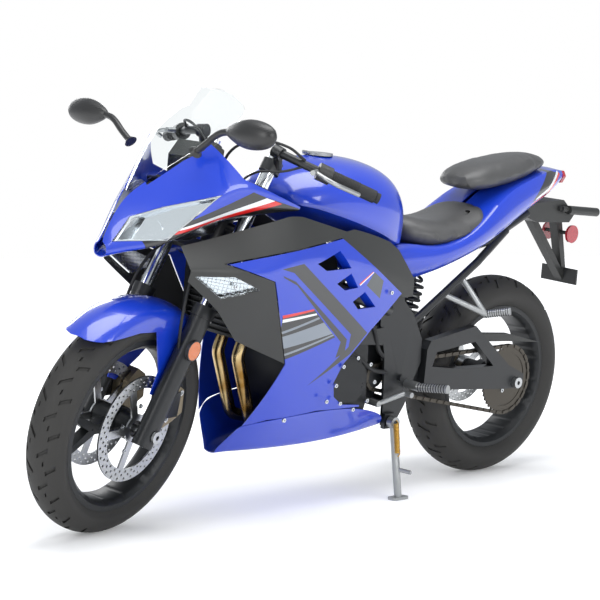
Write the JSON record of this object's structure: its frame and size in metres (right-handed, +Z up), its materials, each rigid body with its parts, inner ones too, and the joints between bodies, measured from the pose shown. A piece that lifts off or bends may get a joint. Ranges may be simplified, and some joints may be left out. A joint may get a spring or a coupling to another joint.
{
  "type": "sport motorcycle",
  "caption": "Fully faired sport motorcycle parked leaning on its side stand, with turning steering, wheels, stand and fuel cap.",
  "frame": {"origin": "on the ground, under the middle of the parked machine's bounding box", "axes": "+X forward along the machine, +Y to the rider's left, the side it leans to, +Z up"},
  "size_m": [2.0809, 0.8456, 1.1303],
  "materials": {
    "black_paint": "satin",
    "blue_paint": "gloss",
    "blue_plastic": "gloss",
    "bronze_grey": "satin",
    "cast_grey": "satin",
    "chain_steel": "satin",
    "chrome": "polished",
    "dark_plastic": "matte",
    "disc_steel": "brushed",
    "engine_black": "satin",
    "grip_rubber": "matte",
    "header_steel": "heat tinted",
    "lens_amber": "gloss",
    "lens_clear": "gloss",
    "lens_red": "gloss",
    "mirror_black": "satin",
    "screen_clear": "gloss",
    "seat_cover": "satin",
    "tyre_rubber": "matte"
  },
  "bodies": {
    "root": {"frame": "black_paint", "subframe": "black_paint", "engine": "engine_black", "radiator": "engine_black", "exhaust_headers": "header_steel", "muffler": "disc_steel", "shock_absorber": "disc_steel", "swing_arm": "black_paint", "rear_axle": "disc_steel", "drive_chain": "chain_steel", "chain_guard": "dark_plastic", "rear_caliper": "bronze_grey", "nose_cowl": "blue_plastic", "headlamp_lenses": "lens_clear", "headlamp_bowls": "chrome", "windscreen": "screen_clear", "instrument_panel": "dark_plastic", "mirrors": "mirror_black", "arrow_panels": "dark_plastic", "front_turn_lamps": "lens_clear", "side_panel_left": "blue_plastic", "side_panel_right": "blue_plastic", "belly_pan": "blue_plastic", "fuel_tank": "blue_paint", "frame_covers": "dark_plastic", "rider_seat": "seat_cover", "pillion_seat": "seat_cover", "tail_cowl": "blue_plastic", "tail_lamp": "lens_red", "tail_bracket": "dark_plastic", "rear_turn_lamps": "dark_plastic", "rear_reflectors": "lens_red", "rider_pegs": "cast_grey", "passenger_pegs": "cast_grey", "gear_lever": "cast_grey", "brake_pedal": "cast_grey"},
    "rear_wheel": {"rear_tyre": "tyre_rubber", "rear_rim": "engine_black", "rear_disc": "disc_steel", "rear_sprocket": "chain_steel"},
    "fuel_cap": {"fuel_cap": "cast_grey"},
    "steering": {"fork_clamps": "engine_black", "fork_tubes": "chrome", "fork_sliders": "black_paint", "front_axle": "disc_steel", "handlebars": "black_paint", "grips": "grip_rubber", "switch_boxes": "dark_plastic", "levers": "cast_grey", "front_mudguard": "blue_plastic", "front_calipers": "bronze_grey", "fork_reflectors": "lens_amber"},
    "front_wheel": {"front_tyre": "tyre_rubber", "front_rim": "engine_black", "front_discs": "disc_steel"},
    "side_stand": {"side_stand": "cast_grey"}
  },
  "joints": [
    {"name": "steering", "type": "hinge", "parent": "root", "child": "steering", "pos_m": [0.45859, -0.03244, 0.799], "axis": [-0.4362, 0.1251, 0.8911], "range_deg": [-48, 12]},
    {"name": "front_wheel_spin", "type": "hinge", "parent": "steering", "child": "front_wheel", "pos_m": [0.75687, -0.09065, 0.28447], "axis": [-0.2784, 0.9229, -0.2658], "continuous": true},
    {"name": "rear_wheel_spin", "type": "hinge", "parent": "root", "child": "rear_wheel", "pos_m": [-0.64109, -0.10132, 0.31163], "axis": [-0.0003, 0.9903, -0.1392], "continuous": true},
    {"name": "side_stand", "type": "hinge", "parent": "root", "child": "side_stand", "pos_m": [-0.10033, 0.03692, 0.21613], "axis": [-0.0003, 0.9903, -0.1392], "range_deg": [0, 95]},
    {"name": "fuel_cap", "type": "hinge", "parent": "root", "child": "fuel_cap", "pos_m": [0.19356, -0.00793, 0.97403], "axis": [-0.0003, 0.9903, -0.1392], "range_deg": [0, 95]}
  ]
}
